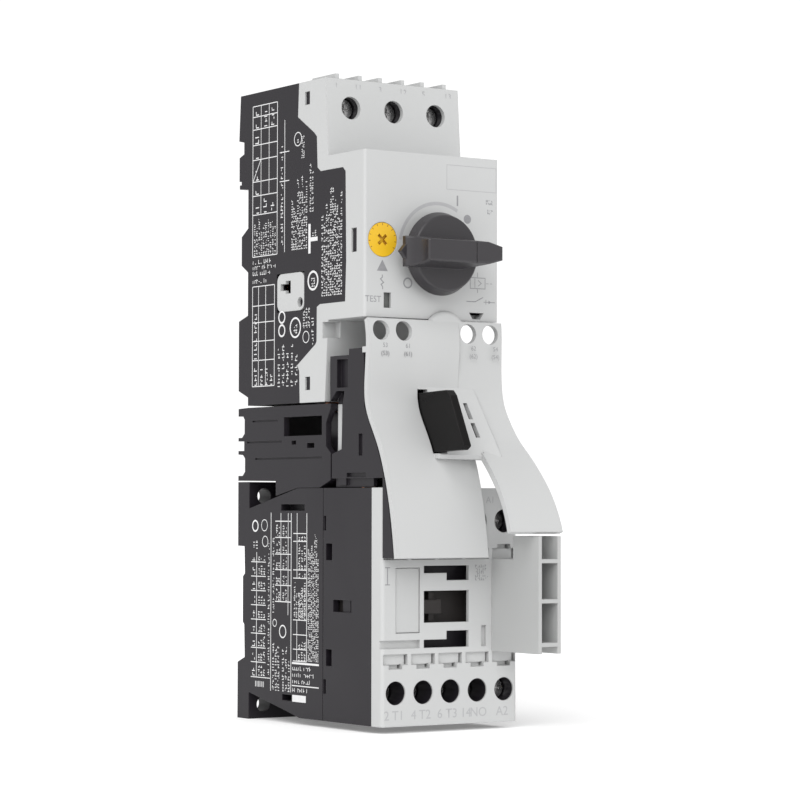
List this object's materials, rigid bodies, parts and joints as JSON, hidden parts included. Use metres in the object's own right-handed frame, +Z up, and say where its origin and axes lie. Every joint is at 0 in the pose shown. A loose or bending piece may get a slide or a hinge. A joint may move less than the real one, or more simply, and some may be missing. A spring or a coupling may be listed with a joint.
{
  "type": "magnetic motor starter",
  "caption": "DIN-rail motor starter: protective breaker with rotary knob and current dial above a contactor, joined by an adapter and a plug-in link with a curved cover.",
  "frame": {"origin": "middle of the 35 mm rail's width and of the starter's width, on the plane where the breaker seats on the rail", "axes": "+Z up along the starter's length, +X to the right seen from the front, -Y towards the person at the panel"},
  "size_m": [0.045, 0.0965, 0.1817],
  "materials": {
    "black_moulding": "matt glass-filled thermoplastic, fine spark-eroded grain",
    "light_moulding": "light grey thermoplastic, fine satin grain",
    "knob_black": "black thermoplastic, satin",
    "dial_yellow": "yellow thermoplastic",
    "inner_moulding": "dark thermoset",
    "zinc_screw": "zinc plated steel",
    "spring_steel": "spring steel wire",
    "core_steel": "stacked silicon steel laminations",
    "splitter_steel": "nickel plated steel",
    "contact_copper": "copper with silver alloy buttons",
    "coil_copper": "enamelled copper wire",
    "bimetal": "bimetal strip",
    "pad_rubber": "soft elastomer",
    "label_card": "label strip"
  },
  "bodies": {
    "housing": {"adapter_frame": "black_moulding", "arc_splitter_plates": "splitter_steel", "bimetal_strips": "bimetal", "breaker_base": "black_moulding", "breaker_clip_spring": "spring_steel", "breaker_cover": "light_moulding", "cable_guide": "light_moulding", "carrier_return_springs": "spring_steel", "coil_bobbin": "inner_moulding", "coil_terminals": "contact_copper", "coil_winding": "coil_copper", "contactor_clip_spring": "spring_steel", "contactor_face": "light_moulding", "contactor_front_housing": "black_moulding", "contactor_rear_housing": "black_moulding", "label_insert": "label_card", "line_contacts": "contact_copper", "line_terminal_clamps": "zinc_screw", "line_terminal_screws": "zinc_screw", "link_busbars": "contact_copper", "link_cover": "light_moulding", "link_guide_strip": "light_moulding", "link_module_body": "black_moulding", "load_contacts": "contact_copper", "load_terminal_clamps": "zinc_screw", "load_terminal_screws": "zinc_screw", "lower_contacts": "contact_copper", "lower_terminal_clamps": "zinc_screw", "lower_terminal_screws": "zinc_screw", "magnet_yoke": "core_steel", "magnetic_trip_coils": "coil_copper", "mechanism_frame": "splitter_steel", "screw_shrouds": "black_moulding", "side_port_plate": "light_moulding", "upper_contacts": "contact_copper", "upper_terminal_clamps": "zinc_screw", "upper_terminal_screws": "zinc_screw", "yoke_damping_pad": "pad_rubber"},
    "knob": {"rotary_knob": "knob_black", "knob_shaft": "inner_moulding"},
    "breaker_carrier": {"breaker_contact_carrier": "inner_moulding", "breaker_contact_bridges": "contact_copper", "breaker_contact_springs": "spring_steel"},
    "dial": {"current_dial": "dial_yellow", "dial_cam": "inner_moulding"},
    "test_trip": {"test_slider": "inner_moulding"},
    "trip_release": {"trip_bar": "inner_moulding"},
    "plunger_left": {"trip_plunger_left": "core_steel"},
    "plunger_middle": {"trip_plunger_middle": "core_steel"},
    "plunger_right": {"trip_plunger_right": "core_steel"},
    "breaker_clip": {"breaker_rail_clip": "black_moulding"},
    "contactor_clip": {"contactor_rail_clip": "black_moulding"},
    "lever": {"lock_lever": "knob_black"},
    "contactor_carrier": {"contact_carrier": "inner_moulding", "moving_contacts": "contact_copper", "contact_springs": "spring_steel", "magnet_armature": "core_steel"}
  },
  "joints": [
    {"name": "knob_turn", "type": "hinge", "parent": "housing", "child": "knob", "pos_m": [0, -0.0613, -0.0046], "axis": [0, 1, 0], "range_deg": [0, 90]},
    {"name": "breaker_contacts_close", "type": "slide", "parent": "housing", "child": "breaker_carrier", "axis": [0, -1, 0], "range_m": [0, 0.0023]},
    {"name": "current_setting", "type": "hinge", "parent": "housing", "child": "dial", "pos_m": [-0.0165, -0.0609, -0.0012], "axis": [0, 1, 0], "range_deg": [-135, 135]},
    {"name": "test_push", "type": "slide", "parent": "housing", "child": "test_trip", "axis": [1, 0, 0], "range_m": [0, 0.0015], "stiffness_N_per_m": 150, "springref_m": -0.001},
    {"name": "trip_bar_tilt", "type": "hinge", "parent": "housing", "child": "trip_release", "pos_m": [0, -0.0092, 0.017], "axis": [1, 0, 0], "range_deg": [0, 10], "stiffness_Nm_per_rad": 0.02, "springref_deg": -5.73},
    {"name": "plunger_left_strike", "type": "slide", "parent": "housing", "child": "plunger_left", "axis": [0, 0, 1], "range_m": [0, 0.004], "stiffness_N_per_m": 60, "springref_m": -0.001},
    {"name": "plunger_middle_strike", "type": "slide", "parent": "housing", "child": "plunger_middle", "axis": [0, 0, 1], "range_m": [0, 0.004], "stiffness_N_per_m": 60, "springref_m": -0.001},
    {"name": "plunger_right_strike", "type": "slide", "parent": "housing", "child": "plunger_right", "axis": [0, 0, 1], "range_m": [0, 0.004], "stiffness_N_per_m": 60, "springref_m": -0.001},
    {"name": "breaker_clip_pull", "type": "slide", "parent": "housing", "child": "breaker_clip", "axis": [0, 0, -1], "range_m": [0, 0.003], "stiffness_N_per_m": 600, "springref_m": -0.002, "deforming": ["breaker_clip_spring"]},
    {"name": "contactor_clip_pull", "type": "slide", "parent": "housing", "child": "contactor_clip", "axis": [0, 0, -1], "range_m": [0, 0.003], "stiffness_N_per_m": 600, "springref_m": -0.002, "deforming": ["contactor_clip_spring"]},
    {"name": "lock_lever_tilt", "type": "hinge", "parent": "housing", "child": "lever", "pos_m": [-0.0046, -0.0594, -0.046], "axis": [-1, 0, 0], "range_deg": [0, 12]},
    {"name": "contactor_pull_in", "type": "slide", "parent": "housing", "child": "contactor_carrier", "axis": [0, 1, 0], "range_m": [0, 0.0032], "stiffness_N_per_m": 900, "springref_m": -0.003, "deforming": ["carrier_return_springs"]}
  ],
  "couplings": [
    {"joint": "breaker_contacts_close", "follows": "knob_turn", "m_per_rad": 0.0014641}
  ]
}
